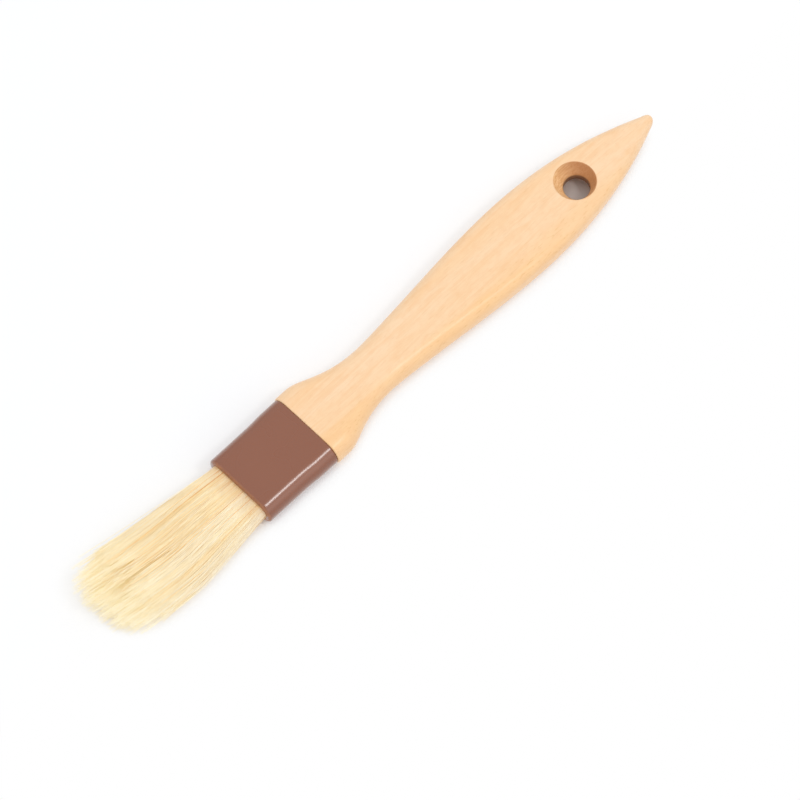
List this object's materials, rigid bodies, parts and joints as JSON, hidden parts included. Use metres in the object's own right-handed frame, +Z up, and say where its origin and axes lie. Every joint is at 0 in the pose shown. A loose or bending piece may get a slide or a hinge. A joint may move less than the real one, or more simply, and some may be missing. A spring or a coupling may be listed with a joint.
{
  "type": "pastry brush",
  "caption": "Flat pastry brush with a shaped wooden handle, a moulded plastic ferrule and a domed pack of pale natural bristle.",
  "frame": {"origin": "on the surface the brush lies on, under the middle of its length and width", "axes": "+X along the brush from the bristle tips to the handle's tip, +Y across its width, +Z up from the ferrule's flat underside"},
  "size_m": [0.236, 0.0284, 0.0104],
  "materials": {
    "handle_wood": "satin lacquer",
    "ferrule_plastic": "glossy, moulded",
    "setting_resin": "cast",
    "filler_wood": "raw",
    "natural_bristle": "natural hair"
  },
  "bodies": {
    "root": {"handle": "handle_wood", "ferrule": "ferrule_plastic", "resin_plug": "setting_resin", "filler_strip": "filler_wood", "bristles_upper": "natural_bristle", "bristles_lower": "natural_bristle"}
  },
  "joints": []
}
